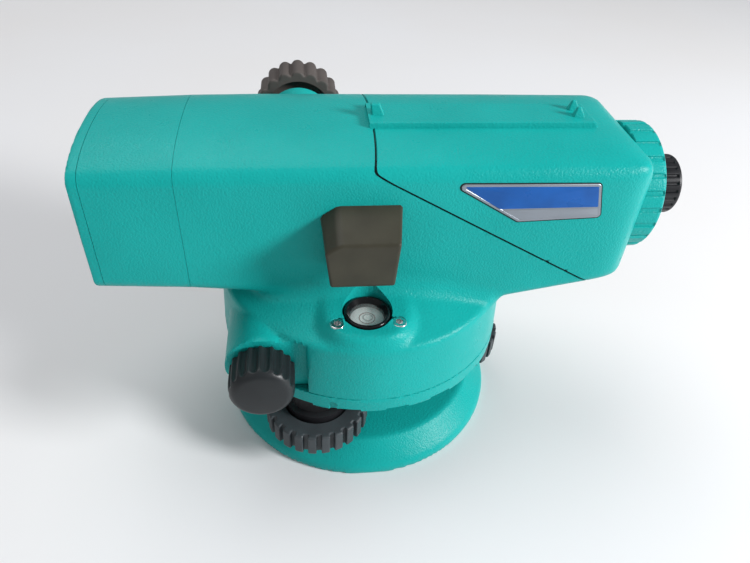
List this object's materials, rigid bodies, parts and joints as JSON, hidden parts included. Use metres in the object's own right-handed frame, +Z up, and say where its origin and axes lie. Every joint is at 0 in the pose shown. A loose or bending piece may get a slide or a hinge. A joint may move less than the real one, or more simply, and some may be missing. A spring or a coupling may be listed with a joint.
{
  "type": "automatic level",
  "caption": "Surveying automatic level: boxy telescope with hood and sights on a round rotating housing, levelling screws and round foot, bubble with mirror, side knobs.",
  "frame": {"origin": "centre of the base plate's underside, on the standing axis", "axes": "+Z up along the standing axis, +X along the telescope towards the eyepiece, +Y towards the focusing knob"},
  "size_m": [0.215, 0.125, 0.1323],
  "materials": {
    "teal_paint": "fine textured",
    "dark_knob": "satin",
    "brown_knob": "satin",
    "olive_plastic": "satin",
    "black_plastic": "satin",
    "black_rubber": "matte",
    "steel": "satin",
    "aluminium": "satin",
    "black_metal": "black anodised",
    "brass": "satin",
    "optical_glass": "polished",
    "mirror_glass": "polished",
    "clear_plastic": "polished",
    "plate_blue": "satin",
    "dark_seal": "matte"
  },
  "bodies": {
    "base": {"base_plate": "teal_paint", "spring_plate": "steel", "spring_plate_screws": "steel"},
    "head": {"levelling_head": "black_metal", "levelling_nuts": "brass", "dust_sleeves": "black_plastic", "spindle_bush": "brass", "clutch_spring": "steel", "clutch_clip": "steel"},
    "circle": {"circle_ring": "teal_paint", "circle_scale": "aluminium"},
    "clutch_wheel": {"worm_wheel": "brass"},
    "instrument": {"main_housing": "teal_paint", "spindle": "steel", "spindle_nut": "steel", "spindle_screws": "steel", "circle_window": "clear_plastic", "rear_cover": "teal_paint", "rear_gasket": "dark_seal", "name_plate": "plate_blue", "mirror_housing": "olive_plastic", "bubble_mirror": "mirror_glass", "level_case": "black_metal", "level_vial": "clear_plastic", "level_screws": "steel", "worm_bushes": "brass", "front_ring": "teal_paint", "objective_hood": "teal_paint", "objective_cell": "black_metal", "objective_lens_front": "optical_glass", "objective_lens_rear": "optical_glass", "guide_rods": "steel", "focus_bush": "black_plastic", "compensator_frame": "aluminium", "fixed_prisms": "optical_glass", "suspension_tapes": "steel", "damper_magnets": "steel", "reticle_mount": "black_metal", "reticle_disc": "optical_glass", "reticle_screws": "steel", "eyepiece_collar": "teal_paint"},
    "drive": {"worm_shaft": "steel", "drive_knob_near": "dark_knob", "drive_knob_far": "dark_knob"},
    "focus_drive": {"focus_shaft": "steel", "focus_knob": "brown_knob"},
    "focus_slider": {"focus_carriage": "black_metal", "focus_rack": "brass", "focusing_lens": "optical_glass"},
    "pendulum": {"pendulum": "aluminium", "pendulum_prism": "optical_glass"},
    "eyepiece": {"eyepiece_barrel": "black_metal", "eyepiece_lenses": "optical_glass"},
    "dioptre": {"dioptre_ring": "black_plastic"},
    "screw_front": {"levelling_screw_front": "steel", "levelling_knob_front": "dark_knob"},
    "screw_right": {"levelling_screw_right": "steel", "levelling_knob_right": "dark_knob"},
    "screw_rear": {"levelling_screw_rear": "steel", "levelling_knob_rear": "dark_knob"}
  },
  "joints": [
    {"name": "screw_front_turn", "type": "hinge", "parent": "base", "child": "screw_front", "pos_m": [-0.02019, -0.03797, 0.02], "axis": [0, 0, 1], "range_deg": [-1224, 1224]},
    {"name": "screw_right_turn", "type": "hinge", "parent": "base", "child": "screw_right", "pos_m": [0.04297, 0.0015, 0.02], "axis": [0, 0, 1], "range_deg": [-1224, 1224]},
    {"name": "screw_rear_turn", "type": "hinge", "parent": "base", "child": "screw_rear", "pos_m": [-0.02279, 0.03647, 0.02], "axis": [0, 0, 1], "range_deg": [-1224, 1224]},
    {"name": "head_lift", "type": "slide", "parent": "base", "child": "head", "axis": [0, 0, 1], "range_m": [-0.0025, 0.0025]},
    {"name": "circle_turn", "type": "hinge", "parent": "head", "child": "circle", "pos_m": [0, 0, 0.04], "axis": [0, 0, 1], "continuous": true},
    {"name": "clutch_turn", "type": "hinge", "parent": "head", "child": "clutch_wheel", "pos_m": [0, 0, 0.055], "axis": [0, 0, 1], "continuous": true},
    {"name": "fine_turn", "type": "hinge", "parent": "clutch_wheel", "child": "instrument", "pos_m": [0, 0, 0.055], "axis": [0, 0, 1], "continuous": true},
    {"name": "drive_turn", "type": "hinge", "parent": "instrument", "child": "drive", "pos_m": [-0.0395, 0, 0.055], "axis": [0, 1, 0], "continuous": true},
    {"name": "focus_turn", "type": "hinge", "parent": "instrument", "child": "focus_drive", "pos_m": [-0.024, 0.03, 0.107], "axis": [0, 1, 0], "range_deg": [-105, 105]},
    {"name": "focus_slide", "type": "slide", "parent": "instrument", "child": "focus_slider", "axis": [1, 0, 0], "range_m": [-0.007, 0.007]},
    {"name": "pendulum_swing", "type": "hinge", "parent": "instrument", "child": "pendulum", "pos_m": [0.024, 0, 0.113], "axis": [0, 1, 0], "range_deg": [-0.7, 0.7]},
    {"name": "eyepiece_slide", "type": "slide", "parent": "instrument", "child": "eyepiece", "axis": [1, 0, 0], "range_m": [-0.0015, 0.0015]},
    {"name": "dioptre_turn", "type": "hinge", "parent": "eyepiece", "child": "dioptre", "pos_m": [0.115, 0, 0.099], "axis": [1, 0, 0], "range_deg": [-188, 188]}
  ],
  "couplings": [
    {"joint": "screw_front_turn", "follows": "head_lift", "rad_per_m": 8377.6},
    {"joint": "screw_right_turn", "follows": "head_lift", "rad_per_m": 8377.6},
    {"joint": "screw_rear_turn", "follows": "head_lift", "rad_per_m": 8377.6},
    {"joint": "drive_turn", "follows": "fine_turn", "ratio": 140},
    {"joint": "focus_turn", "follows": "focus_slide", "rad_per_m": -250},
    {"joint": "dioptre_turn", "follows": "eyepiece_slide", "rad_per_m": 2094.4}
  ]
}
